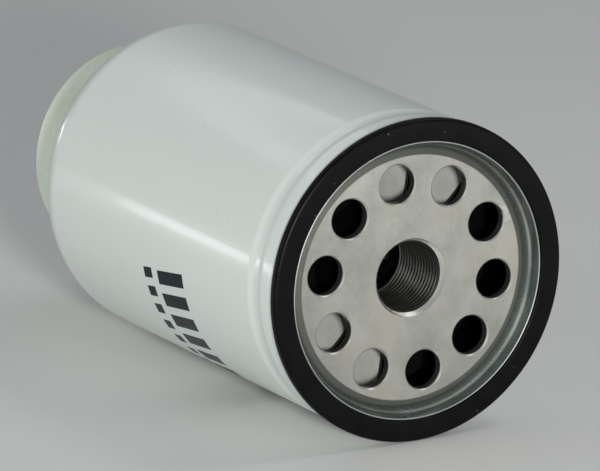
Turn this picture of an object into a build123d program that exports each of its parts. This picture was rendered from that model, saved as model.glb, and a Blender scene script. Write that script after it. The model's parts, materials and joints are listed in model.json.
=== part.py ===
from build123d import *

import math
import os

# Spin-on oil filter lying on its side, in millimetres, +Z up.
# Every length "y" below is measured along the filter's axis, backwards from
# the front face of the threaded plate; the plate looks towards -Y.

# housing
CAN_R = 54.0
CAN_WALL = 0.9
CAN_END_Y = 163.0
CAN_SHOULDER_R = 17.0
SEAM_FRONT_Y = -2.2
SEAM_HOOK_R = 51.2
BEAD_DEPTH = 0.55
BEAD_START_Y = 7.0
BEAD_END_Y = 13.0

# threaded plate
PLATE_R = 52.8
PLATE_THICK = 3.5
PLATE_SKIRT = 2.5
PLATE_SKIRT_END_Y = 7.0
PLATE_FACE_R = 42.0
PLATE_BEVEL_R = 44.7
PLATE_RIM_Y = 1.5
HUB_R = 16.5
HUB_END_Y = 27.0
THREAD_MINOR_R = 11.72
COUNTERSINK_R = (13.4, 12.3)
COUNTERSINK_Y = 1.6
THREAD_START_Y = 2.0
INLET_COUNT = 10
INLET_R = 6.75
INLET_CIRCLE_R = 32.8
INLET_CHAMFER = 0.5
FIRST_INLET_DEG = -9.0

# gasket and the ring that holds it
RETAINER_SHEET = 0.8
RETAINER_INNER_R = 44.8
RETAINER_LIP_Y = -4.8
RETAINER_LIP_R = 47.4
RETAINER_OUTER_R = 53.0
GASKET_IN_R = 47.5
GASKET_OUT_R = 55.0
GASKET_FRONT_Y = -5.3

# spacer between the plate and the element, and the fins set in it
SPACER_COLLAR_R = (17.3, 20.5)
SPACER_FRONT_Y = 3.52
SPACER_BACK_Y = 28.0
FIN_FRONT_Y = 10.8
FIN_R = (19.6, 46.0)
FIN_THICK = 1.0
FIN_ANGLES_DEG = (45, 81, 225, 261)
GROMMET_R = (16.55, 18.8)
GROMMET_Y = (8.0, 15.0)

# filter element
CAP_SHEET = 0.8
CAP_R = 47.0
CAP_SKIRT = 6.0
CAP_HOLE_R = 15.0
TUBE_R = (17.2, 18.0)
TUBE_HOLE_R = 2.6
TUBE_HOLES_AROUND = 10
TUBE_HOLE_ROWS = 12
ADHESIVE_DEPTH = 2.5
ELEMENT_END_Y = 136.8
PLEAT_COUNT = 64
PLEAT_R = (18.6, 45.6)
PLEAT_FOLD = 5.0
BAND_R = (45.75, 46.6)
BAND_WIDTH = 4.0
BAND_Y = (57.0, 82.5, 108.0)

# bypass valve in the element's far cap
SEAT_PORT_R = 8.0
SEAT_BODY_R = 14.9
SEAT_FLANGE_R = 18.0
SEAT_INNER_Y = 135.9
CAGE_R = (13.2, 14.0)
CAGE_TOP_Y = 121.2
CAGE_SHEET = 1.0
CAGE_GUIDE_R = 3.1
CAGE_WINDOWS = 4
POPPET_R = 11.0
POPPET_STEM_R = 3.0
POPPET_SEAL_THICK = 1.5
BYPASS_SPRING_R = 7.5
BYPASS_WIRE_R = 0.6
BYPASS_TURNS = 5

# support spring behind the element
SUPPORT_SPRING_R = 28.0
SUPPORT_WIRE_R = 1.4
SUPPORT_TURNS = 3
SPRING_SEAT_R = (25.0, 32.8)
SPRING_SEAT_Y = (151.1, 151.95)

# bowl, its ring in the can and its drain
RING_Y = (152.0, 162.05)
RING_OUT_R = 36.8
RING_THREAD_R = 33.1
RING_LEDGE_R = 31.0
RING_LEDGE = 1.5
CAN_MOUTH_R = 33.6
NECK_R = (29.5, 33.0)
NECK_FRONT_Y = 154.0
BOWL_R = 37.8
BOWL_WALL = 3.0
BOWL_FRONT_Y = 164.2
BOWL_END_Y = 190.0
BOWL_EDGE_R = 2.5
BOWL_SEAL_R = (34.0, 36.8)
RECESS_R = 12.0
RECESS_FLOOR_Y = 182.5
DRAIN_BORE_R = 5.0
DRAIN_BOSS_R = 9.0
DRAIN_BOSS_Y = 174.0
DRAIN_SHANK_R = 4.94
DRAIN_HEAD_ACROSS_FLATS = 14.0
DRAIN_SEAL_THICK = 1.0
DRAIN_CHANNEL_R = 1.8

TOUCH = 0.02


def turned(points, rounds=()):
    """A closed outline of (radius, y) corners turned about the Y axis.

    rounds pairs a corner with the radius that rounds it.
    """
    outline = make_face(Polyline(*points, close=True))
    for corner, radius in rounds:
        nearest = outline.vertices().sort_by_distance((corner[0], corner[1], 0))[0]
        outline = fillet(nearest, radius)
    return revolve(outline, Axis.Y)


def tube(inner_r, outer_r, front_y, back_y):
    """A plain ring or tube on the filter's axis."""
    return turned([(inner_r, front_y), (outer_r, front_y), (outer_r, back_y), (inner_r, back_y)])


def rod(radius, front_y, back_y):
    """A solid round bar on the filter's axis."""
    return turned([(0, front_y), (radius, front_y), (radius, back_y), (0, back_y)])


def about_axis(shape, degrees):
    """Turn a shape about the filter's axis, from +X towards +Z."""
    return Rot(0, -degrees, 0) * shape


def radial_block(inner_r, outer_r, width, front_y, back_y):
    """A block reaching out along +X from the axis."""
    size = (outer_r - inner_r, back_y - front_y, width)
    middle = Pos((inner_r + outer_r) / 2, (front_y + back_y) / 2, 0)
    return middle * Box(*size)


def coil(radius, wire_r, front_y, back_y, turns):
    """A round-wire helical spring whose wire reaches from front_y to back_y."""
    rise = back_y - front_y - 2 * wire_r
    path = Helix(pitch=rise / turns, height=rise, radius=radius)
    section = Plane(origin=path @ 0, z_dir=path % 0) * Circle(wire_r)
    spring = sweep(section, path=path)
    return Pos(0, front_y + wire_r, 0) * Rot(-90, 0, 0) * spring


def make_can():
    inner = CAN_R - CAN_WALL
    seam_back = SEAM_FRONT_Y + CAN_WALL
    end_inside = CAN_END_Y - CAN_WALL
    floor_r = CAN_R - BEAD_DEPTH
    points = [
        (SEAM_HOOK_R, SEAM_FRONT_Y),
        (CAN_R, SEAM_FRONT_Y),
        (CAN_R, BEAD_START_Y),
        (floor_r, BEAD_START_Y + 1.2),
        (floor_r, BEAD_END_Y - 1.2),
        (CAN_R, BEAD_END_Y),
        (CAN_R, CAN_END_Y),
        (CAN_MOUTH_R, CAN_END_Y),
        (CAN_MOUTH_R, end_inside),
        (inner, end_inside),
        (inner, BEAD_END_Y + 0.2),
        (floor_r - CAN_WALL, BEAD_END_Y - 1.0),
        (floor_r - CAN_WALL, BEAD_START_Y + 1.0),
        (inner, BEAD_START_Y - 0.2),
        (inner, seam_back),
        (SEAM_HOOK_R, seam_back),
    ]
    rounds = [
        ((CAN_R, SEAM_FRONT_Y), 0.7),
        ((CAN_R, BEAD_START_Y), 0.8),
        ((CAN_R, BEAD_END_Y), 0.8),
        ((CAN_R, CAN_END_Y), CAN_SHOULDER_R),
        ((inner, end_inside), CAN_SHOULDER_R - CAN_WALL),
    ]
    return turned(points, rounds)


def make_threaded_plate():
    skirt_in = PLATE_R - PLATE_SKIRT
    points = [
        (THREAD_MINOR_R, THREAD_START_Y),
        (COUNTERSINK_R[1], COUNTERSINK_Y),
        (COUNTERSINK_R[0], 0),
        (PLATE_FACE_R, 0),
        (PLATE_BEVEL_R, PLATE_RIM_Y),
        (PLATE_R, PLATE_RIM_Y),
        (PLATE_R, PLATE_SKIRT_END_Y),
        (skirt_in, PLATE_SKIRT_END_Y),
        (skirt_in, PLATE_THICK),
        (HUB_R, PLATE_THICK),
        (HUB_R, HUB_END_Y - 0.8),
        (HUB_R - 0.8, HUB_END_Y),
        (THREAD_MINOR_R, HUB_END_Y),
    ]
    plate = turned(points, [((PLATE_FACE_R, 0), 0.6)])
    wide = INLET_R + INLET_CHAMFER
    drill = turned([(0, -1), (wide, -1), (wide, 0), (INLET_R, INLET_CHAMFER), (INLET_R, 6), (0, 6)])
    for i in range(INLET_COUNT):
        angle = FIRST_INLET_DEG + 360 / INLET_COUNT * i
        plate -= about_axis(Pos(INLET_CIRCLE_R, 0, 0) * drill, angle)
    return plate


def make_gasket_retainer():
    """Sheet ring folded to a lip inside the gasket, with a channel for the gasket outside it."""
    inner, sheet = RETAINER_INNER_R, RETAINER_SHEET
    base = PLATE_RIM_Y
    channel = base - sheet
    flange = SEAM_FRONT_Y + CAN_WALL + 0.05
    lip_in = RETAINER_LIP_R - sheet
    points = [
        (inner, base),
        (inner + 0.4, -0.8),
        (lip_in + 0.2, RETAINER_LIP_Y),
        (RETAINER_LIP_R, RETAINER_LIP_Y),
        (RETAINER_LIP_R, channel),
        (SEAM_HOOK_R + 0.1, channel),
        (SEAM_HOOK_R + 0.1, flange),
        (RETAINER_OUTER_R, flange),
        (RETAINER_OUTER_R, base),
        (lip_in, base),
        (lip_in, RETAINER_LIP_Y + 1.8),
        (lip_in - 0.2, RETAINER_LIP_Y + 1.8),
        (inner + 0.4 + sheet, -0.5),
        (inner + sheet, base),
    ]
    rounds = [
        ((inner + 0.4, -0.8), 0.5),
        ((lip_in + 0.2, RETAINER_LIP_Y), 0.25),
        ((RETAINER_LIP_R, RETAINER_LIP_Y), 0.25),
    ]
    return turned(points, rounds)


def make_outer_gasket():
    root_y = PLATE_RIM_Y - RETAINER_SHEET - 0.05
    back_y = SEAM_FRONT_Y - 0.05
    root_r = SEAM_HOOK_R - 0.1
    points = [
        (GASKET_IN_R, root_y),
        (GASKET_IN_R, GASKET_FRONT_Y),
        (GASKET_OUT_R, GASKET_FRONT_Y),
        (GASKET_OUT_R, back_y),
        (root_r, back_y),
        (root_r, root_y),
    ]
    rounds = [
        ((GASKET_IN_R, GASKET_FRONT_Y), 0.5),
        ((GASKET_OUT_R, GASKET_FRONT_Y), 1.3),
        ((GASKET_OUT_R, back_y), 0.5),
    ]
    return turned(points, rounds)


def make_spacer_fins():
    """The fins, each a flat plate that stands in a slot of the spacer."""
    fin = radial_block(*FIN_R, FIN_THICK, FIN_FRONT_Y, SPACER_BACK_Y)
    return [about_axis(fin, angle) for angle in FIN_ANGLES_DEG]


def make_flow_spacer():
    inner, outer = SPACER_COLLAR_R
    groove_r = GROMMET_R[1] + 0.05
    spacer = turned([
        (inner, SPACER_FRONT_Y),
        (outer, SPACER_FRONT_Y),
        (outer, SPACER_BACK_Y),
        (inner, SPACER_BACK_Y),
        (inner, GROMMET_Y[1] + 0.05),
        (groove_r, GROMMET_Y[1] + 0.05),
        (groove_r, GROMMET_Y[0] - 0.05),
        (inner, GROMMET_Y[0] - 0.05),
    ])
    for fin in make_spacer_fins():
        spacer -= fin
    return spacer


def make_hub_grommet():
    inner, outer = GROMMET_R
    front, back = GROMMET_Y
    middle = (front + back) / 2
    return turned([
        (inner, front + 1),
        (inner + 0.4, front),
        (outer, front),
        (outer, back),
        (inner + 0.4, back),
        (inner, back - 1),
        (inner, middle + 0.8),
        (inner + 0.5, middle),
        (inner, middle - 0.8),
    ])


def make_top_end_cap():
    front = SPACER_BACK_Y + TOUCH
    inside = front + CAP_SHEET
    skirt_end = front + CAP_SKIRT
    points = [
        (CAP_HOLE_R, front),
        (CAP_R, front),
        (CAP_R, skirt_end),
        (CAP_R - CAP_SHEET, skirt_end),
        (CAP_R - CAP_SHEET, inside),
        (CAP_HOLE_R + CAP_SHEET, inside),
        (CAP_HOLE_R + CAP_SHEET, front + 5),
        (CAP_HOLE_R, front + 5),
    ]
    return turned(points, [((CAP_R, front), 1.0)])


def make_bottom_end_cap():
    inside = ELEMENT_END_Y - CAP_SHEET
    skirt_end = ELEMENT_END_Y - CAP_SKIRT
    points = [
        (CAP_HOLE_R, ELEMENT_END_Y),
        (CAP_HOLE_R, inside),
        (CAP_R - CAP_SHEET, inside),
        (CAP_R - CAP_SHEET, skirt_end),
        (CAP_R, skirt_end),
        (CAP_R, ELEMENT_END_Y),
    ]
    return turned(points, [((CAP_R, ELEMENT_END_Y), 1.0)])


def media_span():
    """Front and back of the pleats, between the two layers of adhesive."""
    front = SPACER_BACK_Y + TOUCH + CAP_SHEET + ADHESIVE_DEPTH
    back = ELEMENT_END_Y - CAP_SHEET - ADHESIVE_DEPTH
    return front, back


def make_adhesive(front_y):
    return tube(TUBE_R[1] + 0.1, CAP_R - CAP_SHEET - 0.1, front_y, front_y + ADHESIVE_DEPTH)


def make_centre_tube():
    front = SPACER_BACK_Y + TOUCH + CAP_SHEET + 0.05
    back = ELEMENT_END_Y - CAP_SHEET - 0.05
    wall = tube(*TUBE_R, front, back)
    media_front, media_back = media_span()
    step = (media_back - media_front) / TUBE_HOLE_ROWS
    drill = Rot(0, 90, 0) * Cylinder(TUBE_HOLE_R, 2 * TUBE_R[1] + 4)
    holes = []
    for row in range(TUBE_HOLE_ROWS):
        y = media_front + step * (row + 0.5)
        stagger = 0.5 * (row % 2)
        for k in range(TUBE_HOLES_AROUND // 2):
            angle = 360 / TUBE_HOLES_AROUND * (k + stagger)
            holes.append(Pos(0, y, 0) * about_axis(drill, angle))
    return wall - holes


def pleat_loop(inner_r, outer_r):
    """A star outline in the XZ plane with one point for each pleat."""
    corners = []
    for i in range(2 * PLEAT_COUNT):
        radius = outer_r if i % 2 else inner_r
        angle = math.pi * i / PLEAT_COUNT
        corners.append((radius * math.cos(angle), radius * math.sin(angle)))
    return make_face(Plane.XZ * Polyline(*corners, close=True))


def make_media_pleats():
    inner, outer = PLEAT_R
    front, back = media_span()
    sheet = pleat_loop(inner + PLEAT_FOLD, outer) - pleat_loop(inner, outer - PLEAT_FOLD)
    return extrude(Pos(0, front, 0) * sheet, amount=back - front, dir=(0, 1, 0))


def make_media_band(middle_y):
    return tube(*BAND_R, middle_y - BAND_WIDTH / 2, middle_y + BAND_WIDTH / 2)


def make_bypass_seat():
    flange_front = ELEMENT_END_Y + TOUCH
    return turned([
        (SEAT_PORT_R, SEAT_INNER_Y),
        (SEAT_BODY_R, SEAT_INNER_Y),
        (SEAT_BODY_R, flange_front),
        (SEAT_FLANGE_R, flange_front),
        (SEAT_FLANGE_R, flange_front + CAP_SHEET),
        (SEAT_PORT_R, flange_front + CAP_SHEET),
    ])


def make_bypass_cage():
    inner, outer = CAGE_R
    back = SEAT_INNER_Y - TOUCH
    cage = turned([
        (CAGE_GUIDE_R, CAGE_TOP_Y),
        (outer, CAGE_TOP_Y),
        (outer, back),
        (inner, back),
        (inner, CAGE_TOP_Y + CAGE_SHEET),
        (CAGE_GUIDE_R, CAGE_TOP_Y + CAGE_SHEET),
    ])
    window = radial_block(inner - 2, outer + 2, 10, CAGE_TOP_Y + 3, back - 3.5)
    for i in range(CAGE_WINDOWS):
        cage -= about_axis(window, 360 / CAGE_WINDOWS * i)
    return cage


def poppet_faces():
    """Front and back of the poppet's disc."""
    back = SEAT_INNER_Y - 0.05 - POPPET_SEAL_THICK - 0.05
    return back - 1.0, back


def make_bypass_poppet():
    front, back = poppet_faces()
    return turned([
        (0, CAGE_TOP_Y - 3),
        (POPPET_STEM_R - 0.6, CAGE_TOP_Y - 3),
        (POPPET_STEM_R, CAGE_TOP_Y - 2.4),
        (POPPET_STEM_R, front),
        (POPPET_R, front),
        (POPPET_R, back),
        (POPPET_STEM_R, back),
        (POPPET_STEM_R, SEAT_INNER_Y + 0.1),
        (POPPET_STEM_R + 2, SEAT_INNER_Y + 0.1),
        (POPPET_STEM_R + 1.4, SEAT_INNER_Y + 1.3),
        (0, SEAT_INNER_Y + 1.3),
    ])


def make_poppet_seal():
    front = poppet_faces()[1] + 0.05
    return tube(POPPET_STEM_R + 0.1, POPPET_R - 0.3, front, front + POPPET_SEAL_THICK)


def make_bypass_spring():
    front = CAGE_TOP_Y + CAGE_SHEET + 0.05
    back = poppet_faces()[0] - 0.05
    return coil(BYPASS_SPRING_R, BYPASS_WIRE_R, front, back, BYPASS_TURNS)


def make_support_spring():
    front = ELEMENT_END_Y + 0.05
    back = SPRING_SEAT_Y[0] - 0.05
    return coil(SUPPORT_SPRING_R, SUPPORT_WIRE_R, front, back, SUPPORT_TURNS)


def make_spring_seat():
    inner, outer = SPRING_SEAT_R
    front, back = SPRING_SEAT_Y
    return turned([
        (inner, front - 2.5),
        (inner + 0.8, front - 2.5),
        (inner + 0.8, front),
        (outer, front),
        (outer, back),
        (inner, back),
    ])


def make_bowl_ring():
    front, back = RING_Y
    return turned([
        (RING_LEDGE_R, front),
        (RING_OUT_R, front),
        (RING_OUT_R, back),
        (RING_THREAD_R, back),
        (RING_THREAD_R, front + RING_LEDGE),
        (RING_LEDGE_R, front + RING_LEDGE),
    ])


def make_bowl():
    neck_in, neck_out = NECK_R
    inside_r = BOWL_R - BOWL_WALL
    inside_end = BOWL_END_Y - BOWL_WALL
    recess_out = RECESS_R + BOWL_WALL
    floor_inside = RECESS_FLOOR_Y - BOWL_WALL
    points = [
        (neck_in, NECK_FRONT_Y),
        (neck_out, NECK_FRONT_Y),
        (neck_out, BOWL_FRONT_Y),
        (BOWL_R, BOWL_FRONT_Y),
        (BOWL_R, BOWL_END_Y),
        (RECESS_R, BOWL_END_Y),
        (RECESS_R, RECESS_FLOOR_Y),
        (DRAIN_BORE_R, RECESS_FLOOR_Y),
        (DRAIN_BORE_R, DRAIN_BOSS_Y),
        (DRAIN_BOSS_R, DRAIN_BOSS_Y),
        (DRAIN_BOSS_R, floor_inside),
        (recess_out, floor_inside),
        (recess_out, inside_end),
        (inside_r, inside_end),
        (inside_r, BOWL_FRONT_Y + BOWL_WALL),
        (neck_in, BOWL_FRONT_Y + BOWL_WALL),
    ]
    rounds = [
        ((BOWL_R, BOWL_END_Y), BOWL_EDGE_R),
        ((BOWL_R, BOWL_FRONT_Y), 0.8),
        ((RECESS_R, BOWL_END_Y), 1.0),
        ((inside_r, inside_end), 2.0),
    ]
    return turned(points, rounds)


def make_bowl_seal():
    return tube(*BOWL_SEAL_R, CAN_END_Y + TOUCH, BOWL_FRONT_Y - TOUCH)


def make_drain_seal():
    front = RECESS_FLOOR_Y + TOUCH
    return tube(DRAIN_BORE_R, 8.0, front, front + DRAIN_SEAL_THICK)


def make_drain_plug():
    head_front = RECESS_FLOOR_Y + DRAIN_SEAL_THICK + 2 * TOUCH
    head_back = BOWL_END_Y - 0.5
    shank = rod(DRAIN_SHANK_R, DRAIN_BOSS_Y - 2, head_front + 0.5)
    corner_r = DRAIN_HEAD_ACROSS_FLATS / math.sqrt(3)
    hexagon = Plane.XZ * RegularPolygon(corner_r, 6)
    head = extrude(Pos(0, head_front, 0) * hexagon, amount=head_back - head_front, dir=(0, 1, 0))
    head = chamfer(head.faces().sort_by(Axis.Y)[-1].edges(), 0.6)
    channel = rod(DRAIN_CHANNEL_R, DRAIN_BOSS_Y - 3, RECESS_FLOOR_Y - 1)
    return shank + head - channel


def save(node, shape):
    """Put the origin at the thread's mouth and write one STEP file."""
    export_step(Pos(0, -THREAD_START_Y, 0) * shape, f"parts/{node}.step")


def main():
    os.makedirs("parts", exist_ok=True)
    media_front, media_back = media_span()

    save("can", make_can())
    save("threaded_plate", make_threaded_plate())
    save("gasket_retainer", make_gasket_retainer())
    save("outer_gasket", make_outer_gasket())
    save("bowl_ring", make_bowl_ring())
    save("spring_seat", make_spring_seat())
    save("support_spring", make_support_spring())

    save("flow_spacer", make_flow_spacer())
    for number, fin in enumerate(make_spacer_fins(), 1):
        save(f"spacer_fin_{number}", fin)
    save("hub_grommet", make_hub_grommet())
    save("top_end_cap", make_top_end_cap())
    save("top_adhesive", make_adhesive(media_front - ADHESIVE_DEPTH))
    save("centre_tube", make_centre_tube())
    save("media_pleats", make_media_pleats())
    for name, middle in zip(("front", "middle", "rear"), BAND_Y):
        save(f"media_band_{name}", make_media_band(middle))
    save("bottom_adhesive", make_adhesive(media_back))
    save("bottom_end_cap", make_bottom_end_cap())

    save("bypass_seat", make_bypass_seat())
    save("bypass_cage", make_bypass_cage())
    save("bypass_spring", make_bypass_spring())
    save("bypass_poppet", make_bypass_poppet())
    save("poppet_seal", make_poppet_seal())

    save("bowl_seal", make_bowl_seal())
    save("bowl", make_bowl())
    save("drain_seal", make_drain_seal())
    save("drain_plug", make_drain_plug())


main()
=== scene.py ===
import json
import math

import bmesh
import bpy
from mathutils import Matrix, Vector


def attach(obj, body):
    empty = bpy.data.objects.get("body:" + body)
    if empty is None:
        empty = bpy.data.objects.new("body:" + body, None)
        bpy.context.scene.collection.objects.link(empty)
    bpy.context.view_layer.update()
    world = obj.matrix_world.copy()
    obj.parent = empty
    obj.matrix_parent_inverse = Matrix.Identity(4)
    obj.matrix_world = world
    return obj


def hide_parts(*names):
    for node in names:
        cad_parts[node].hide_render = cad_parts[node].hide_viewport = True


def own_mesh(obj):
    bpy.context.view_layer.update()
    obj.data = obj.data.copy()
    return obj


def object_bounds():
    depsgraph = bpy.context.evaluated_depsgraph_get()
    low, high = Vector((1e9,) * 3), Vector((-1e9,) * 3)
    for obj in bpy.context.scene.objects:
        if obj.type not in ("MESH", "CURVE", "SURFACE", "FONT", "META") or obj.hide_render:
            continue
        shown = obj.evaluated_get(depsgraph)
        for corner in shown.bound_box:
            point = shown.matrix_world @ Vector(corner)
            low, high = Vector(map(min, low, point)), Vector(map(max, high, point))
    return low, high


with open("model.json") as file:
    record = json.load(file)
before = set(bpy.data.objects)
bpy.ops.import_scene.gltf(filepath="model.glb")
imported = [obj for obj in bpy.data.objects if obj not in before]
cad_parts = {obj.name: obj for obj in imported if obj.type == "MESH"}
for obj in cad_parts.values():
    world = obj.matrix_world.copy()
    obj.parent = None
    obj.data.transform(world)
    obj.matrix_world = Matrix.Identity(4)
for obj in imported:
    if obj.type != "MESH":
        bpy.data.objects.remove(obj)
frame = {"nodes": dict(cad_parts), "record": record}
CAD_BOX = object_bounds()

MM = 0.001
# Outlines are in millimetres: radius, then y measured back from the plate's front face.
# PLATE_FACE_Y is where that face lies in the frame, whose origin is the thread's mouth.
PLATE_FACE_Y = -2.0

# Mesh fineness: steps round a lathed piece, and the angles above which an edge stays sharp.
AROUND = 256
PLATE_AROUND = 192
DRILL_AROUND = 72
SMALL_RING_AROUND = 96
SHARP_DEG = 32
CUT_SHARP_DEG = 20
MERGE_DISTANCE = 1e-7

CAN_R = 54.0
CAN_WALL = 0.9
CAN_FRONT = -2.2
CAN_END = 163.0
SHOULDER_R = 17.0
# The bead: a shallow groove rolled into the can's wall near its front.
BEAD_Y = 10.0
BEAD_FLOOR_R = 53.6
BEAD_HALF_FLOOR = 1.4
BEAD_HALF_WIDTH = 4.4

PLATE_FLAT_R = 42.0
PLATE_THICK = 3.5
HUB_R = 16.5
COUNTERSINK_R = 13.4
INLETS = 10
INLET_CIRCLE_R = 32.8
INLET_R = 6.75
INLET_CHAMFER = 0.5
FIRST_INLET_DEG = -9.0

GASKET_BORE_R = 47.5
GASKET_R = 55.0
GASKET_FACE_Y = -5.3
RETAINER_LIP_Y = -4.8

BOWL_R = 37.8
BOWL_END = 190.0

# Each spring reaches from its first y to its second.
SUPPORT_SPRING = (136.85, 151.05)
BYPASS_SPRING = (122.25, 133.25)
SPRING_EASED_SHARE = 0.55

MARKS_START_DEG = 186.0
BARS = 8
BAR_STEP_DEG = 9.0
BAR_DEG = 5.4
BAR_SPAN = (58.5, 76.0)
BAR_LEAN_DEG = 3.0
DASHES = 9
DASH_STEP_DEG = 7.5
DASH_SPAN = (80.0, 85.5)
DASH_SHARE = 0.55
DASH_LEAN_DEG = 1.0
# Depth of the fins' front edges; in front of it the fins are painted dark as shade.
FIN_EDGE_Y = 10.85

THREAD_CREST_R = 11.72
THREAD_DEPTH = 0.98
THREAD_PITCH = 1.814
THREAD_SPAN = (2.0, 27.0)
THREAD_FADE = 0.8
THREAD_ROWS_PER_TURN = 14
# Shares of the pitch: half of the flat at the thread's root, and one flank.
ROOT_HALF = 0.0625
FLANK = 0.3125
# The bore, painted dark as shade: its radius is just past the thread's roots, its start just before the
# first turn.
BORE_R = 12.77
BORE_START = 1.8

# A lumpy patch near the plate's rim, painted lighter as a highlight on its lumps.
LUMPS_AND_HIGHLIGHT_PATCH_R = 3.4
LUMPS_AND_HIGHLIGHT_DEG = 25.0
LUMPS_AND_HIGHLIGHT_R = 40.3
LUMPS_AND_HIGHLIGHT_AT = (
    LUMPS_AND_HIGHLIGHT_R * MM * math.cos(math.radians(LUMPS_AND_HIGHLIGHT_DEG)),
    PLATE_FACE_Y * MM,
    LUMPS_AND_HIGHLIGHT_R * MM * math.sin(math.radians(LUMPS_AND_HIGHLIGHT_DEG)),
)

CAMERA_ELEVATION_DEG = 15.65
CAMERA_AZIMUTH_DEG = -30.31
CAMERA_DISTANCE = 3.0
CAMERA_LENS_MM = 545.5
# How far the line of sight passes to the right of the plate's centre, and above it, in metres.
SIGHT_TO_RIGHT = -0.03652
SIGHT_ABOVE = 0.01389

FLOOR_HALF = 6.0
WORLD_COLOUR = (0.93, 0.97, 1.0, 1.0)
WORLD_STRENGTH = 0.28


# ---------------------------------------------------------------- meshes


def arc_corner(before, corner, after, radius):
    """Points that round one corner of an outline with a circular arc."""
    c = Vector(corner)
    to_before = (Vector(before) - c).normalized()
    to_after = (Vector(after) - c).normalized()
    half = to_before.angle(to_after) / 2
    bisector = (to_before + to_after).normalized()
    centre = c + bisector * (radius / math.sin(half))
    start = c + to_before * (radius / math.tan(half)) - centre
    end = c + to_after * (radius / math.tan(half)) - centre
    sweep = math.pi - 2 * half
    steps_per_radian = 6 + 1.2 * radius
    steps = max(4, round(sweep * steps_per_radian))
    points = []
    for i in range(steps + 1):
        t = i / steps
        blend = start * math.sin((1 - t) * sweep) + end * math.sin(t * sweep)
        points.append(tuple(centre + blend / math.sin(sweep)))
    return points


def rounded(corners):
    """A closed outline from (radius, y) corners; a third number rounds that corner."""
    points = []
    for i, corner in enumerate(corners):
        before, after = corners[i - 1][:2], corners[(i + 1) % len(corners)][:2]
        if len(corner) == 3:
            points += arc_corner(before, corner[:2], after, corner[2])
        else:
            points.append(corner)
    return points


def lathe(name, outline, wall=None, around=AROUND):
    """Turn a closed outline about the Y axis; wall(radius, y, angle) may change each radius."""
    bm = bmesh.new()
    rings = []
    for i in range(around):
        angle = 2 * math.pi * i / around
        ring = []
        for radius, y in outline:
            r = wall(radius, y, angle) if wall else radius
            at = (r * math.cos(angle) * MM, (y + PLATE_FACE_Y) * MM, r * math.sin(angle) * MM)
            ring.append(bm.verts.new(at))
        rings.append(ring)
    count = len(outline)
    for i in range(around):
        here, following = rings[i], rings[(i + 1) % around]
        for j in range(count):
            k = (j + 1) % count
            bm.faces.new((here[j], here[k], following[k], following[j]))
    bmesh.ops.remove_doubles(bm, verts=bm.verts, dist=MERGE_DISTANCE)
    bmesh.ops.recalc_face_normals(bm, faces=bm.faces)
    return finish_mesh(name, bm)


def shade(mesh, sharp_deg):
    """Shade smoothly, apart from edges that turn by more than an angle."""
    mesh.shade_smooth()
    mesh.set_sharp_from_angle(angle=math.radians(sharp_deg))


def finish_mesh(name, bm):
    """Turn a bmesh into an object in the scene."""
    mesh = bpy.data.meshes.new(name)
    bm.to_mesh(mesh)
    bm.free()
    shade(mesh, SHARP_DEG)
    obj = bpy.data.objects.new(name, mesh)
    bpy.context.scene.collection.objects.link(obj)
    return obj


def helix_tube(name, radius, wire_r, front, back, turns, around=14, per_turn=72):
    """A coil spring whose pitch is smaller near its ends, its wire reaching from front to back."""
    bm = bmesh.new()
    steps = int(turns * per_turn)
    low, high = front + wire_r, back - wire_r
    rings = []
    for i in range(steps + 1):
        t = i / steps
        eased = t - math.sin(2 * math.pi * t) / (2 * math.pi)
        lead = eased * SPRING_EASED_SHARE + t * (1 - SPRING_EASED_SHARE)
        y = low + (high - low) * lead
        angle = 2 * math.pi * turns * t
        out = Vector((math.cos(angle), 0, math.sin(angle)))
        centre = out * radius + Vector((0, y + PLATE_FACE_Y, 0))
        ring = []
        for k in range(around):
            a = 2 * math.pi * k / around
            across = out * wire_r * math.cos(a)
            along = Vector((0, wire_r * math.sin(a), 0))
            ring.append(bm.verts.new((centre + across + along) * MM))
        rings.append(ring)
    for here, following in zip(rings, rings[1:]):
        for k in range(around):
            n = (k + 1) % around
            bm.faces.new((here[k], here[n], following[n], following[k]))
    bm.faces.new(rings[0])
    bm.faces.new(rings[-1])
    bmesh.ops.recalc_face_normals(bm, faces=bm.faces)
    return finish_mesh(name, bm)


def cut(obj, cutters):
    """Subtract the cutters from obj, leaving one plain mesh."""
    for cutter in cutters:
        modifier = obj.modifiers.new("cut", "BOOLEAN")
        modifier.object = cutter
        modifier.operation = "DIFFERENCE"
        modifier.solver = "EXACT"
    graph = bpy.context.evaluated_depsgraph_get()
    mesh = bpy.data.meshes.new_from_object(obj.evaluated_get(graph))
    obj.modifiers.clear()
    obj.data = mesh
    for cutter in cutters:
        bpy.data.objects.remove(cutter)
    shade(mesh, CUT_SHARP_DEG)


def patch(bm, angles_deg, span, lean_deg, radius=CAN_R - 0.02, thick=0.05):
    """A thin curved plate on the can between two angles and two y values, leaning as y grows.

    It starts just under the enamel and stands just proud of it.
    """
    (first, last), (front, back) = angles_deg, span
    columns = max(2, round(last - first))
    rows = max(1, round(abs(lean_deg)))
    grid = {}
    for i in range(columns + 1):
        for j in range(rows + 1):
            angle = math.radians(first + (last - first) * i / columns + lean_deg * j / rows)
            y = (front + (back - front) * j / rows + PLATE_FACE_Y) * MM
            for k, r in enumerate((radius * MM, (radius + thick) * MM)):
                grid[i, j, k] = bm.verts.new((r * math.cos(angle), y, r * math.sin(angle)))
    for i in range(columns):
        for j in range(rows):
            for k in (0, 1):
                bm.faces.new((grid[i, j, k], grid[i + 1, j, k], grid[i + 1, j + 1, k], grid[i, j + 1, k]))
        for j in (0, rows):
            bm.faces.new((grid[i, j, 0], grid[i + 1, j, 0], grid[i + 1, j, 1], grid[i, j, 1]))
    for j in range(rows):
        for i in (0, columns):
            bm.faces.new((grid[i, j, 0], grid[i, j + 1, 0], grid[i, j + 1, 1], grid[i, j, 1]))


# ------------------------------------------------------------- materials


# Colours are linear. Texture scales are per metre, and bump distances are in metres.


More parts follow.
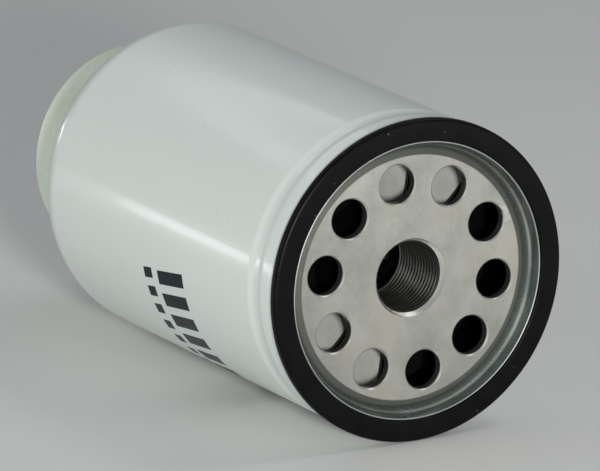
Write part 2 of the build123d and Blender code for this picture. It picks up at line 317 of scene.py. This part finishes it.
class Finish:
    """A node material built on one Principled shader, in object coordinates."""

    def __init__(self, name, **inputs):
        self.mat = bpy.data.materials.new(name)
        self.mat.use_nodes = True
        self.tree = self.mat.node_tree
        self.shader = self.tree.nodes["Principled BSDF"]
        self.coords = self.add("ShaderNodeTexCoord").outputs["Object"]
        for key, value in inputs.items():
            self.shader.inputs[key.replace("_", " ")].default_value = value

    def add(self, kind, **settings):
        node = self.tree.nodes.new(kind)
        for key, value in settings.items():
            setattr(node, key, value)
        return node

    def link(self, a, b):
        self.tree.links.new(a, b)

    def noise(self, scale, detail, roughness=0.55, stretch=None):
        node = self.add("ShaderNodeTexNoise")
        node.inputs["Scale"].default_value = scale
        node.inputs["Detail"].default_value = detail
        node.inputs["Roughness"].default_value = roughness
        source = self.coords
        if stretch:
            mapping = self.add("ShaderNodeMapping")
            mapping.inputs["Scale"].default_value = stretch
            self.link(source, mapping.inputs["Vector"])
            source = mapping.outputs["Vector"]
        self.link(source, node.inputs["Vector"])
        return node.outputs["Fac"]

    def cloud(self, scale, detail):
        """Soft patches, from 0 to 1."""
        return self.ramp(self.noise(scale, detail), 0.35, 0.65, 0, 1)

    def cells(self, scale):
        """The outputs of a pattern of irregular cells."""
        node = self.add("ShaderNodeTexVoronoi")
        node.inputs["Scale"].default_value = scale
        self.link(self.coords, node.inputs["Vector"])
        return node.outputs

    def specks(self, scale, size):
        """1 inside sparse round specks, 0 elsewhere."""
        return self.ramp(self.cells(scale)["Distance"], size * 0.7, size, 1.0, 0.0)

    def ramp(self, value, low, high, at_low, at_high):
        """at_low below low, at_high above high, and a straight line between them."""
        node = self.add("ShaderNodeMapRange")
        node.inputs["From Min"].default_value = low
        node.inputs["From Max"].default_value = high
        node.inputs["To Min"].default_value = at_low
        node.inputs["To Max"].default_value = at_high
        self.link(value, node.inputs["Value"])
        return node.outputs["Result"]

    def math(self, operation, a, b):
        node = self.add("ShaderNodeMath", operation=operation)
        for socket, value in zip(node.inputs, (a, b)):
            if isinstance(value, (int, float)):
                socket.default_value = value
            else:
                self.link(value, socket)
        return node.outputs["Value"]

    def mix(self, factor, a, b):
        node = self.add("ShaderNodeMix", data_type="RGBA")
        self.link(factor, node.inputs["Factor"])
        for socket, value in ((node.inputs["A"], a), (node.inputs["B"], b)):
            if isinstance(value, tuple):
                socket.default_value = (*value, 1.0)
            else:
                self.link(value, socket)
        return node.outputs["Result"]

    def axis_y(self):
        """Distance behind the plate's face, in millimetres."""
        split = self.add("ShaderNodeSeparateXYZ")
        self.link(self.coords, split.inputs["Vector"])
        return self.math("SUBTRACT", self.math("DIVIDE", split.outputs["Y"], MM), PLATE_FACE_Y)

    def radius(self):
        """Distance from the filter's axis, in millimetres."""
        flat = self.add("ShaderNodeVectorMath", operation="MULTIPLY")
        flat.inputs[1].default_value = (1 / MM, 0, 1 / MM)
        self.link(self.coords, flat.inputs[0])
        length = self.add("ShaderNodeVectorMath", operation="LENGTH")
        self.link(flat.outputs["Vector"], length.inputs[0])
        return length.outputs["Value"]

    def spot(self, at, radius):
        """1 near a point, falling to 0 at the radius."""
        node = self.add("ShaderNodeVectorMath", operation="DISTANCE")
        node.inputs[1].default_value = at
        self.link(self.coords, node.inputs[0])
        return self.ramp(node.outputs["Value"], 0.6 * radius, radius, 1.0, 0.0)

    def bump(self, *layers):
        """Stack (height, strength, distance in metres) layers of bump."""
        normal = None
        for height, strength, distance in layers:
            node = self.add("ShaderNodeBump")
            node.inputs["Strength"].default_value = strength
            node.inputs["Distance"].default_value = distance
            self.link(height, node.inputs["Height"])
            if normal:
                self.link(normal, node.inputs["Normal"])
            normal = node.outputs["Normal"]
        self.link(normal, self.shader.inputs["Normal"])

    def drive(self, socket, value):
        self.link(value, self.shader.inputs[socket])


def white_enamel():
    """Glossy off-white with a few darker specks, and a bluish edge at the front seam."""
    f = Finish("white_enamel", Specular_IOR_Level=0.5, Coat_Weight=0.35, Coat_Roughness=0.09)
    cloud = f.cloud(9, 3)
    base = f.mix(cloud, (0.715, 0.765, 0.738), (0.735, 0.785, 0.757))
    specks = f.math("MULTIPLY", f.specks(240, 0.04), f.ramp(f.noise(60, 2), 0.64, 0.68, 0, 0.6))
    base = f.mix(specks, base, (0.50, 0.52, 0.51))
    seam = f.ramp(f.axis_y(), CAN_FRONT + 0.65, CAN_FRONT + 0.95, 1, 0)
    base = f.mix(seam, base, (0.46, 0.52, 0.68))
    f.drive("Base Color", base)
    f.drive("Roughness", f.ramp(f.noise(40, 3), 0.3, 0.7, 0.27, 0.31))
    f.bump((f.noise(900, 2, 0.4), 0.07, 0.0001), (f.noise(160, 1, 0.4), 0.05, 0.0002))
    return f.mat


# The can's inside, near-black: painted shade for the dark inside of the filter.
def can_inside_painted_shade():
    f = Finish("can_inside_painted_shade", Specular_IOR_Level=0.05)
    cloud = f.cloud(90, 4)
    f.drive("Base Color", f.mix(cloud, (0.002, 0.002, 0.002), (0.004, 0.004, 0.004)))
    f.drive("Roughness", f.ramp(cloud, 0, 1, 0.5, 0.65))
    f.bump((f.noise(700, 3), 0.1, 0.0001))
    return f.mat


def plate_zones(f):
    """Masks of the plate's chamfers, of its outer bevel and of the walls of its inlet holes: where
    highlight and shade are painted.
    """
    deep, radius = f.axis_y(), f.radius()
    below_face = f.ramp(deep, 0.02, 0.06, 0, 1)
    on_flat = f.ramp(radius, PLATE_FLAT_R - 1.0, PLATE_FLAT_R - 0.6, 1, 0)
    chamfer_highlight = f.math("MULTIPLY", below_face, on_flat)
    bevel_shade = f.ramp(radius, PLATE_FLAT_R - 0.5, PLATE_FLAT_R - 0.1, 0, 1)
    past_chamfer = f.ramp(deep, INLET_CHAMFER + 0.2, INLET_CHAMFER + 0.7, 0, 0.8)
    past_bore = f.ramp(radius, COUNTERSINK_R + 0.1, COUNTERSINK_R + 0.6, 0, 1)
    wall = f.math("MULTIPLY", past_chamfer, past_bore)
    return chamfer_highlight, bevel_shade, wall


def plate_steel():
    """Brushed steel with painted light: bright chamfers and a lighter lumpy patch as highlights, a dark
    dull outer bevel and dark hole walls as shade.
    """
    f = Finish("plate_steel", Metallic=0.85)
    grain = f.noise(2600, 3, 0.6, (1, 1, 0.10))
    fine = f.noise(1500, 5, 0.65)
    cloud = f.ramp(f.noise(42, 6, 0.65), 0.36, 0.64, 0, 1)
    base = f.mix(cloud, (0.31, 0.315, 0.285), (0.49, 0.49, 0.44))
    base = f.mix(f.ramp(fine, 0.35, 0.65, 0, 0.30), base, (0.47, 0.47, 0.435))
    rose = f.ramp(f.noise(34, 3, 0.5), 0.52, 0.66, 0, 0.4)
    base = f.mix(rose, base, (0.49, 0.405, 0.34))
    pits = f.math("MULTIPLY", f.specks(620, 0.12), f.ramp(f.noise(110, 3), 0.50, 0.60, 0, 0.85))
    base = f.mix(pits, base, (0.09, 0.087, 0.077))
    lumps_and_highlight = f.spot(LUMPS_AND_HIGHLIGHT_AT, LUMPS_AND_HIGHLIGHT_PATCH_R * MM)
    lumps = f.specks(900, 0.42)
    # Painted highlight: the lumpy patch is made lighter.
    base = f.mix(f.math("MULTIPLY", lumps_and_highlight, 0.7), base, (0.62, 0.61, 0.58))
    chamfer_highlight, bevel_shade, wall = plate_zones(f)
    # Painted highlight on the chamfers.
    base = f.mix(chamfer_highlight, base, (0.62, 0.62, 0.585))
    # Painted shade on the outer bevel, where it meets the retainer.
    base = f.mix(bevel_shade, base, (0.13, 0.135, 0.12))
    # Painted shade on the walls of the inlet holes, and on the plate behind its face.
    base = f.mix(wall, base, (0.05, 0.05, 0.045))
    f.drive("Base Color", base)
    rough = f.math("ADD", f.ramp(grain, 0.3, 0.7, 0.34, 0.44), f.ramp(cloud, 0, 1, 0.08, 0))
    rough = f.math("ADD", rough, f.math("MULTIPLY", bevel_shade, 0.28))
    f.drive("Roughness", f.math("SUBTRACT", rough, f.math("MULTIPLY", chamfer_highlight, 0.08)))
    f.bump(
        (grain, 0.10, 0.00006),
        (fine, 0.16, 0.00008),
        (f.noise(45, 2), 0.14, 0.0007),
        (f.math("MULTIPLY", lumps, lumps_and_highlight), 0.9, 0.0005),
    )
    return f.mat


def bore_steel_painted_shade():
    """The bore and its threads, far darker than the plate's face: painted shade inside the bore."""
    f = Finish("bore_steel_painted_shade", Metallic=0.5, Specular_IOR_Level=0.2)
    cloud = f.cloud(240, 4)
    f.drive("Base Color", f.mix(cloud, (0.016, 0.0155, 0.014), (0.030, 0.029, 0.027)))
    f.drive("Roughness", f.ramp(cloud, 0, 1, 0.40, 0.50))
    f.bump((f.noise(2400, 3), 0.10, 0.00005))
    return f.mat


def galvanised():
    """Zinc with a faint spangle."""
    f = Finish("galvanised_steel", Metallic=1.0)
    grey = f.add("ShaderNodeRGBToBW")
    f.link(f.cells(420)["Color"], grey.inputs["Color"])
    tone = f.ramp(grey.outputs["Val"], 0.2, 0.8, 0, 1)
    cloud = f.cloud(90, 5)
    base = f.mix(f.math("MULTIPLY", tone, 0.25), (0.30, 0.33, 0.325), (0.36, 0.39, 0.385))
    base = f.mix(f.math("MULTIPLY", cloud, 0.25), base, (0.25, 0.27, 0.27))
    f.drive("Base Color", base)
    f.drive("Roughness", f.ramp(cloud, 0, 1, 0.18, 0.25))
    f.bump((f.noise(600, 4), 0.04, 0.0001))
    return f.mat


def retainer_zinc():
    """Zinc: painted bright at the foot as a highlight, painted dark on the wall as shade, and a lighter,
    rougher lip.
    """
    f = Finish("retainer_zinc", Metallic=1.0)
    cloud = f.cloud(90, 5)
    # Painted shade: the wall's dark tones.
    wall = f.mix(cloud, (0.17, 0.195, 0.185), (0.23, 0.26, 0.25))
    # Painted highlight: the bright foot next to the plate.
    base = f.mix(f.ramp(f.axis_y(), -2.2, -1.6, 0, 1), wall, (0.80, 0.88, 0.90))
    lip = f.ramp(f.axis_y(), RETAINER_LIP_Y + 0.1, RETAINER_LIP_Y + 0.3, 1, 0)
    base = f.mix(lip, base, (0.40, 0.43, 0.42))
    f.drive("Base Color", base)
    rough = f.ramp(cloud, 0, 1, 0.22, 0.30)
    f.drive("Roughness", f.math("ADD", rough, f.math("MULTIPLY", lip, 0.2)))
    f.bump((f.noise(600, 4), 0.06, 0.0001))
    return f.mat


def spring_wire():
    f = Finish("spring_steel", Metallic=1.0)
    tone = f.cloud(260, 5)
    f.drive("Base Color", f.mix(tone, (0.36, 0.36, 0.37), (0.46, 0.46, 0.46)))
    f.drive("Roughness", f.ramp(tone, 0, 1, 0.3, 0.45))
    f.bump((f.noise(1500, 3), 0.1, 0.00005))
    return f.mat


def rubber():
    """Black rubber with a little pale dust in patches."""
    f = Finish("black_rubber", Specular_IOR_Level=0.11)
    cloud = f.noise(120, 5)
    base = f.mix(f.ramp(cloud, 0.35, 0.7, 0, 1), (0.0015, 0.0015, 0.0018), (0.003, 0.003, 0.0034))
    dust = f.math("MULTIPLY", f.specks(300, 0.07), f.ramp(f.noise(60, 3), 0.52, 0.58, 0, 0.8))
    base = f.mix(dust, base, (0.26, 0.25, 0.20))
    f.drive("Base Color", base)
    f.drive("Roughness", f.ramp(cloud, 0.3, 0.7, 0.32, 0.44))
    f.bump((f.noise(1400, 3), 0.15, 0.00008), (f.noise(150, 3), 0.08, 0.0003))
    return f.mat


def plastic(name, dark, light, rough, grain=900, **inputs):
    """A dull moulded or painted surface, clouded between two colours."""
    f = Finish(name, **inputs)
    f.drive("Base Color", f.mix(f.cloud(70, 4), dark, light))
    f.drive("Roughness", f.ramp(f.noise(200, 4), 0.3, 0.7, rough - 0.05, rough + 0.07))
    f.bump((f.noise(grain, 3), 0.10, 0.0001))
    return f.mat


def fin_plastic():
    """Light grey faces; the thin front edges are painted dark as shade."""
    f = Finish("grey_plastic")
    cloud = f.cloud(120, 5)
    base = f.mix(cloud, (0.80, 0.80, 0.76), (0.94, 0.94, 0.90))
    specks = f.math("MULTIPLY", f.specks(700, 0.08), f.ramp(f.noise(150, 2), 0.5, 0.6, 0, 0.6))
    base = f.mix(specks, base, (0.30, 0.29, 0.26))
    # Painted shade: the thin front edges go near-black.
    front_edge_shade = f.ramp(f.axis_y(), FIN_EDGE_Y, FIN_EDGE_Y + 0.05, 1, 0)
    base = f.mix(front_edge_shade, base, (0.02, 0.02, 0.02))
    f.drive("Base Color", base)
    f.drive("Roughness", f.ramp(f.noise(200, 4), 0.3, 0.7, 0.45, 0.6))
    f.bump((f.noise(900, 3), 0.10, 0.0001))
    return f.mat


def bowl_plastic():
    """Pale green plastic that lets a little light into it."""
    f = Finish(
        "bowl_plastic",
        Subsurface_Weight=0.2,
        Subsurface_Scale=0.003,
        Subsurface_Radius=(1.0, 1.0, 0.7),
        IOR=1.49,
    )
    f.drive("Base Color", f.mix(f.cloud(35, 4), (0.80, 0.92, 0.72), (0.88, 0.97, 0.79)))
    f.drive("Roughness", f.ramp(f.noise(150, 4), 0.3, 0.7, 0.20, 0.30))
    f.bump((f.noise(300, 3), 0.05, 0.0003))
    return f.mat


def filter_paper():
    f = Finish("filter_paper", Roughness=0.9)
    fibre = f.noise(900, 6, 0.7, (1, 0.25, 1))
    cloud = f.cloud(60, 4)
    base = f.mix(f.ramp(fibre, 0.3, 0.7, 0, 1), (0.66, 0.55, 0.34), (0.82, 0.73, 0.51))
    f.drive("Base Color", f.mix(f.math("MULTIPLY", cloud, 0.3), base, (0.60, 0.50, 0.30)))
    f.bump((fibre, 0.3, 0.0001))
    return f.mat


def brass():
    f = Finish("brass", Metallic=1.0)
    cloud = f.cloud(140, 5)
    f.drive("Base Color", f.mix(cloud, (0.60, 0.45, 0.22), (0.76, 0.60, 0.33)))
    f.drive("Roughness", f.ramp(cloud, 0, 1, 0.24, 0.36))
    f.bump((f.noise(1200, 3), 0.1, 0.00006))
    return f.mat


def ink():
    f = Finish("printed_ink", Specular_IOR_Level=0.1)
    cloud = f.cloud(300, 4)
    f.drive("Base Color", f.mix(cloud, (0.006, 0.013, 0.016), (0.011, 0.020, 0.024)))
    f.drive("Roughness", f.ramp(cloud, 0, 1, 0.28, 0.38))
    f.bump((f.noise(900, 2), 0.05, 0.0001))
    return f.mat


def floor_paper():
    f = Finish("studio_floor")
    cloud = f.cloud(3, 3)
    f.drive("Base Color", f.mix(cloud, (0.74, 0.74, 0.73), (0.76, 0.76, 0.75)))
    f.drive("Roughness", f.ramp(cloud, 0, 1, 0.55, 0.62))
    return f.mat


# Near-black for the black painted steel and black plastic pieces inside the filter: partly their own
# black, partly painted shade for the dark inside.
BLACK_AND_PAINTED_SHADE = (0.002, 0.002, 0.002), (0.004, 0.004, 0.004)
MATS = {
    "white_enamel": white_enamel(),
    "plate_steel": plate_steel(),
    "galvanised_steel": galvanised(),
    "spring_steel": spring_wire(),
    "black_rubber": rubber(),
    "black_painted_steel": plastic("black_painted_steel", *BLACK_AND_PAINTED_SHADE, 0.7, Specular_IOR_Level=0.05),
    "adhesive": plastic("adhesive", (0.19, 0.10, 0.08), (0.28, 0.16, 0.13), 0.6, 400),
    "filter_paper": filter_paper(),
    "bowl_plastic": bowl_plastic(),
    "grey_plastic": fin_plastic(),
    "black_plastic": plastic("black_plastic", *BLACK_AND_PAINTED_SHADE, 0.7, Specular_IOR_Level=0.05),
    "brass": brass(),
}
INK = ink()
CAN_INSIDE_PAINTED_SHADE = can_inside_painted_shade()
BORE_STEEL_PAINTED_SHADE = bore_steel_painted_shade()
RETAINER_ZINC = retainer_zinc()


# ---------------------------------------------------------------- pieces


def dress(obj, body, slot, *nodes, material=None):
    """Give a new piece its finish, its body and the CAD nodes that it stands for."""
    obj.data.materials.clear()
    obj.data.materials.append(material or MATS[slot])
    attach(obj, body)
    if nodes:
        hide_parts(*nodes)


def can_shell():
    """The can: its seam turns in over the retainer's rim, its far end is open for the bowl."""
    inner_r = CAN_R - CAN_WALL
    seam_r, opening_r, inner_bead_r = 51.2, 33.6, 52.55
    outline = rounded([
        (seam_r, CAN_FRONT),
        (CAN_R, CAN_FRONT, 0.7),
        (CAN_R, BEAD_Y - BEAD_HALF_WIDTH, 12.0),
        (BEAD_FLOOR_R, BEAD_Y - BEAD_HALF_FLOOR, 9.0),
        (BEAD_FLOOR_R, BEAD_Y + BEAD_HALF_FLOOR, 9.0),
        (CAN_R, BEAD_Y + BEAD_HALF_WIDTH, 12.0),
        (CAN_R, CAN_END, SHOULDER_R),
        (opening_r, CAN_END, 0.3),
        (opening_r, CAN_END - CAN_WALL),
        (inner_r, CAN_END - CAN_WALL, SHOULDER_R - CAN_WALL),
        (inner_r, BEAD_Y + 3.2),
        (inner_bead_r, BEAD_Y + 2.0),
        (inner_bead_r, BEAD_Y - 2.0),
        (inner_r, BEAD_Y - 3.2),
        (inner_r, CAN_FRONT + CAN_WALL),
        (seam_r, CAN_FRONT + CAN_WALL),
    ])
    can = lathe("can_shell", outline)
    dress(can, "housing", "white_enamel", "can")
    can.data.materials.append(CAN_INSIDE_PAINTED_SHADE)
    # The inner faces take the near-black painted shade.
    for face in can.data.polygons:
        outward = Vector((face.center.x, 0, face.center.z)).dot(face.normal)
        deep_in = math.hypot(face.center.x, face.center.z) < (inner_r + 0.1) * MM
        on_inner_wall = deep_in and outward < 0
        on_inner_end = face.normal.y < -0.5 and face.center.y > CAN_END / 2 * MM
        if on_inner_wall or on_inner_end:
            face.material_index = 1


def thread_wall(radius, y, angle):
    """Radius of the internal thread inside the hub; other radii stay as they are."""
    if abs(radius - THREAD_CREST_R) > 1e-6:
        return radius
    phase = (y / THREAD_PITCH - angle / (2 * math.pi)) % 1.0
    flank = min(1.0, max(0.0, (abs(phase - 0.5) - ROOT_HALF) / FLANK))
    fade = min(1.0, (y - THREAD_SPAN[0]) / THREAD_FADE, (THREAD_SPAN[1] - y) / THREAD_FADE)
    return radius + THREAD_DEPTH * (1 - flank) * max(0.0, fade)


def in_the_bore(at):
    """Whether a point of the plate is on the threads, past the countersink."""
    return math.hypot(at.x, at.z) < BORE_R * MM and at.y > (PLATE_FACE_Y + BORE_START) * MM


def plate_outline():
    """The plate with its hub, and the bore as many short rows for the thread to shape."""
    mouth, end = THREAD_SPAN
    rows = int((end - mouth) / THREAD_PITCH * THREAD_ROWS_PER_TURN)
    step = (end - mouth) / rows
    bore = [(THREAD_CREST_R, end - step * i) for i in range(rows)]
    return rounded([
        (THREAD_CREST_R + 0.02, mouth),
        (12.3, 1.6),
        (COUNTERSINK_R, 0.0),
        (PLATE_FLAT_R, 0.0),
        (44.7, 1.5),
        (52.8, 1.5),
        (52.8, 7.0),
        (50.3, 7.0),
        (50.3, PLATE_THICK),
        (HUB_R, PLATE_THICK),
        (HUB_R, end, 0.7),
    ]) + bore


def inlet_drills():
    """One cutter for each inlet hole, wider at the plate's face for the chamfer."""
    wide = INLET_R + INLET_CHAMFER
    before, cone, behind = -1.0, -0.02, 6.0
    drill = [
        (0, before),
        (wide, before),
        (wide, cone),
        (INLET_R, INLET_CHAMFER),
        (INLET_R, behind),
        (0, behind),
    ]
    cutters = []
    for i in range(INLETS):
        angle = math.radians(FIRST_INLET_DEG + 360 / INLETS * i)
        cutter = lathe("cutter", drill, around=DRILL_AROUND)
        offset = Vector((math.cos(angle), 0, math.sin(angle))) * INLET_CIRCLE_R * MM
        cutter.data.transform(Matrix.Translation(offset))
        cutters.append(cutter)
    return cutters


def threaded_plate():
    plate = lathe("threaded_plate_turned", plate_outline(), thread_wall, PLATE_AROUND)
    cut(plate, inlet_drills())
    dress(plate, "housing", "plate_steel", "threaded_plate")
    # The bore's faces take the dark material: painted shade.
    plate.data.materials.append(BORE_STEEL_PAINTED_SHADE)
    for face in plate.data.polygons:
        if in_the_bore(face.center):
            face.material_index = 1


def gasket_retainer():
    """A sheet ring: it rises from the plate to a thin lip, and the gasket sits round that lip."""
    outline = rounded([
        (44.8, 1.5),
        (45.2, -0.8, 0.6),
        (46.9, RETAINER_LIP_Y, 0.25),
        (47.4, RETAINER_LIP_Y, 0.25),
        (47.4, 0.7),
        (51.3, 0.7),
        (51.3, -1.25),
        (53.0, -1.25),
        (53.0, 1.5),
        (46.6, 1.5),
        (46.6, -3.4),
        (46.5, -3.4),
        (45.95, -0.7),
        (45.6, 1.5),
    ])
    ring = lathe("gasket_retainer_ring", outline)
    dress(ring, "housing", "galvanised_steel", "gasket_retainer", material=RETAINER_ZINC)


def outer_gasket():
    outline = rounded([
        (GASKET_BORE_R, 0.65),
        (GASKET_BORE_R, GASKET_FACE_Y, 0.5),
        (GASKET_R, GASKET_FACE_Y, 1.3),
        (GASKET_R, -2.25, 0.5),
        (51.1, -2.25),
        (51.1, 0.65),
    ])
    dress(lathe("outer_gasket_ring", outline), "housing", "black_rubber", "outer_gasket")


def bowl():
    """A cup with a sunk boss in its end for the drain plug."""
    outline = rounded([
        (29.5, 154.0),
        (33.0, 154.0, 0.4),
        (33.0, 164.2),
        (BOWL_R, 164.2, 0.8),
        (BOWL_R, BOWL_END, 2.5),
        (12.0, BOWL_END, 1.0),
        (12.0, 182.5, 0.4),
        (5.0, 182.5),
        (5.0, 174.0),
        (9.0, 174.0),
        (9.0, 179.5),
        (15.0, 179.5, 0.5),
        (15.0, 187.0, 1.0),
        (34.8, 187.0, 2.0),
        (34.8, 167.2, 1.0),
        (29.5, 167.2),
    ])
    dress(lathe("bowl_cup", outline), "bowl", "bowl_plastic", "bowl")


def seals():
    flat = rounded([(34.0, 163.02), (36.8, 163.02, 0.3), (36.8, 164.18, 0.3), (34.0, 164.18)])
    dress(lathe("bowl_seal_ring", flat), "bowl_seal", "black_rubber", "bowl_seal")
    washer = rounded([(5.0, 182.52), (8.0, 182.52, 0.2), (8.0, 183.52, 0.2), (5.0, 183.52)])
    drain_ring = lathe("drain_seal_ring", washer, around=SMALL_RING_AROUND)
    dress(drain_ring, "drain_seal", "black_rubber", "drain_seal")


def springs():
    """Both springs, each with closer coils near both its ends, each on its own body."""
    support = helix_tube("support_coil", 28.0, 1.4, *SUPPORT_SPRING, turns=3)
    dress(support, "housing", "spring_steel", "support_spring")
    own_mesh(support)
    bypass = helix_tube("bypass_coil", 7.5, 0.6, *BYPASS_SPRING, turns=5)
    dress(bypass, "element", "spring_steel", "bypass_spring")
    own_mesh(bypass)


def printed_marks():
    """A row of equal bars and a row of equal dashes, where the real can has its print."""
    bm = bmesh.new()
    for i in range(BARS):
        start = MARKS_START_DEG + BAR_STEP_DEG * i
        patch(bm, (start, start + BAR_DEG), BAR_SPAN, BAR_LEAN_DEG)
    for i in range(DASHES):
        start = MARKS_START_DEG + BAR_LEAN_DEG + DASH_STEP_DEG * i
        patch(bm, (start, start + DASH_SHARE * DASH_STEP_DEG), DASH_SPAN, DASH_LEAN_DEG)
    bmesh.ops.recalc_face_normals(bm, faces=bm.faces)
    marks = finish_mesh("printed_marks", bm)
    dress(marks, "housing", "white_enamel", material=INK)


def carried_over():
    """CAD nodes whose shape is right keep it and take their slot's material."""
    slots = {s["node"]: s["material_slot"] for s in frame["record"]["subparts"]}
    for name, obj in frame["nodes"].items():
        obj.data.materials.clear()
        obj.data.materials.append(MATS[slots[name]])


carried_over()
can_shell()
threaded_plate()
gasket_retainer()
outer_gasket()
bowl()
seals()
springs()
printed_marks()


# ------------------------------------------------------- floor, light, camera


def floor():
    """A flat sheet of pale paper at the height of the filter's lowest point."""
    bm = bmesh.new()
    bmesh.ops.create_grid(bm, x_segments=8, y_segments=8, size=FLOOR_HALF)
    obj = finish_mesh("studio_floor", bm)
    obj.location = (0, 0, CAD_BOX[0].z)
    obj.data.materials.append(floor_paper())


def softbox(name, towards, distance, size, power, colour=(1, 1, 1), aim=(0, 0.06, 0)):
    """A rectangular area light, standing off a point of the filter in one direction."""
    direction = Vector(towards).normalized()
    light = bpy.data.lights.new(name, "AREA")
    light.shape = "RECTANGLE"
    light.size, light.size_y = size
    light.energy = power
    light.color = colour
    obj = bpy.data.objects.new(name, light)
    obj.location = Vector(aim) + direction * distance
    obj.rotation_euler = (-direction).to_track_quat("-Z", "Y").to_euler()
    obj.visible_camera = False
    bpy.context.scene.collection.objects.link(obj)


def lights():
    """Each softbox: its direction, then distance and size in metres, power in watts, colour, aim."""
    softbox("key", (-0.84, -2.1, 0.5), 2.6, (0.3, 0.3), 56, (1.0, 0.995, 0.96))
    softbox("overhead", (0.486, -0.15, 0.86), 1.4, (0.5, 0.35), 2.2, (0.97, 0.99, 1.0))
    softbox("side", (-1.0, 0.3, 0.35), 2.0, (1.2, 1.2), 4.5, (0.95, 1.0, 0.98))
    softbox("back", (-0.03, 0.83, 0.555), 2.0, (1.2, 0.10), 0.5)
    softbox("rim", (-0.19, 0.98, 0.04), 1.5, (0.25, 0.08), 0.5)
    softbox("front", (0.486, -0.831, 0.05), 0.6, (0.3, 0.2), 0.4, aim=(-0.03, -0.002, -0.03))
    softbox("streak", (-0.55, 0.831, -0.078), 0.55, (0.10, 0.036), 0.06, aim=(-0.053, 0.030, 0.010))
    world = bpy.data.worlds.new("studio")
    world.use_nodes = True
    background = world.node_tree.nodes["Background"]
    background.inputs["Color"].default_value = WORLD_COLOUR
    background.inputs["Strength"].default_value = WORLD_STRENGTH
    bpy.context.scene.world = world
    bpy.context.scene.view_settings.view_transform = "Standard"


def camera():
    """Stand where the photographer stood: low, in front of the plate and to its left."""
    elevation = math.radians(CAMERA_ELEVATION_DEG)
    azimuth = math.radians(CAMERA_AZIMUTH_DEG)
    ahead = Vector((
        -math.sin(azimuth) * math.cos(elevation),
        math.cos(azimuth) * math.cos(elevation),
        -math.sin(elevation),
    ))
    right = ahead.cross(Vector((0, 0, 1))).normalized()
    up = right.cross(ahead)
    plate = Vector((0, PLATE_FACE_Y * MM, 0))
    data = bpy.data.cameras.new("camera")
    data.sensor_width = 36.0
    data.lens = CAMERA_LENS_MM
    data.clip_start, data.clip_end = 0.1, 50.0
    obj = bpy.data.objects.new("camera", data)
    obj.location = plate + right * SIGHT_TO_RIGHT + up * SIGHT_ABOVE - ahead * CAMERA_DISTANCE
    turn = Matrix((right, up, -ahead)).transposed()
    obj.rotation_euler = turn.to_euler()
    bpy.context.scene.collection.objects.link(obj)
    bpy.context.scene.camera = obj


floor()
lights()
camera()
